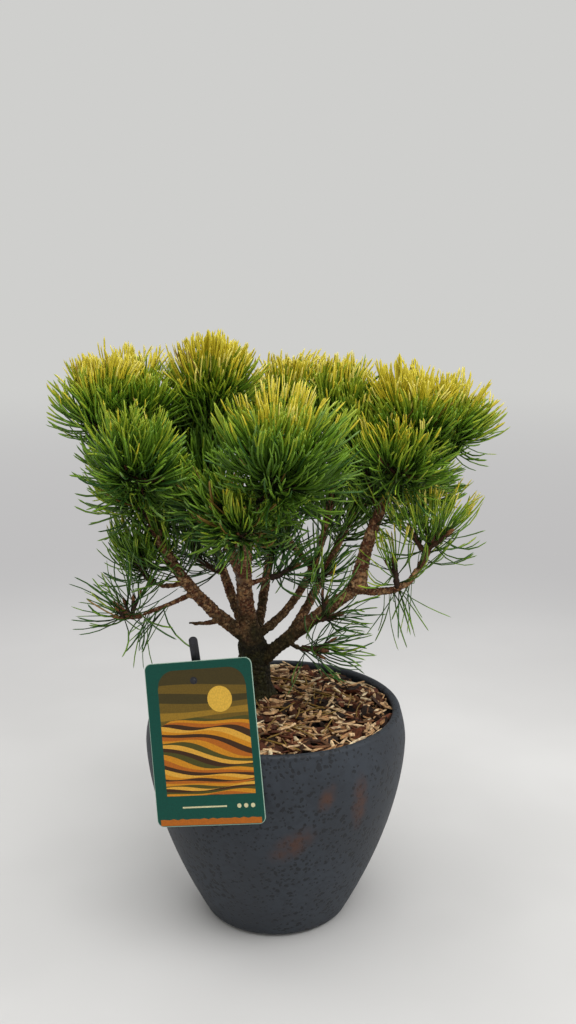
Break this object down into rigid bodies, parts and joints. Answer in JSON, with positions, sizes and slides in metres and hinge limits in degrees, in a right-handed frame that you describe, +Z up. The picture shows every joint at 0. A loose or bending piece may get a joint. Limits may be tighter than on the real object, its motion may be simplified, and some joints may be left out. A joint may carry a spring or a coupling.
{
  "type": "potted mugo pine",
  "caption": "Young mugo pine with a short leaning trunk, upswept boughs and dense needle tufts, in a round speckled pot with bark mulch and a plant label on a stake.",
  "frame": {"origin": "middle of the pot's flat underside", "axes": "+Z up along the pot's axis, +X to the right of the side that carries the label, +Y away from that side"},
  "size_m": [0.3711, 0.3331, 0.5044],
  "materials": {
    "pot_clay": "matt, finely speckled",
    "bark_mulch": "rough, loose",
    "label_print": "smooth printed card",
    "stake_plastic": "satin",
    "bark": "rough, scaly",
    "needles": "waxy, semi-matt"
  },
  "bodies": {
    "root": {"pot": "pot_clay", "soil": "bark_mulch", "label_card": "label_print", "label_stake": "stake_plastic", "trunk": "bark", "centre_bough": "bark", "left_bough": "bark", "middle_bough": "bark", "right_bough": "bark", "back_left_bough": "bark", "back_centre_bough": "bark", "centre_left_bough": "bark", "centre_left_twig": "bark", "centre_small_twig": "bark", "middle_left_twig": "bark", "right_upper_bough": "bark", "right_outer_bough": "bark", "right_low_twig": "bark", "back_right_bough": "bark", "left_low_twig": "bark", "left_middle_twig": "bark", "left_dead_stub": "bark", "left_outer_tuft": "needles", "left_top_tuft": "needles", "left_front_tuft": "needles", "left_under_tuft": "needles", "left_rear_tuft": "needles", "left_middle_tuft": "needles", "left_low_tuft": "needles", "back_left_low_tuft": "needles", "centre_left_top_tuft": "needles", "centre_left_rear_tuft": "needles", "front_tuft": "needles", "front_low_tuft": "needles", "front_left_tuft": "needles", "centre_right_top_tuft": "needles", "inner_top_tuft": "needles", "centre_top_tuft": "needles", "centre_rear_tuft": "needles", "right_top_tuft": "needles", "right_outer_tuft": "needles", "right_middle_tuft": "needles", "right_low_tuft": "needles", "right_small_tuft": "needles", "inner_right_tuft": "needles", "inner_left_tuft": "needles", "low_right_tuft": "needles", "low_front_tuft": "needles", "inner_small_tuft": "needles", "back_left_tuft": "needles", "back_left_outer_tuft": "needles", "back_centre_tuft": "needles", "back_low_tuft": "needles", "back_right_tuft": "needles", "back_right_outer_tuft": "needles"}
  },
  "joints": []
}
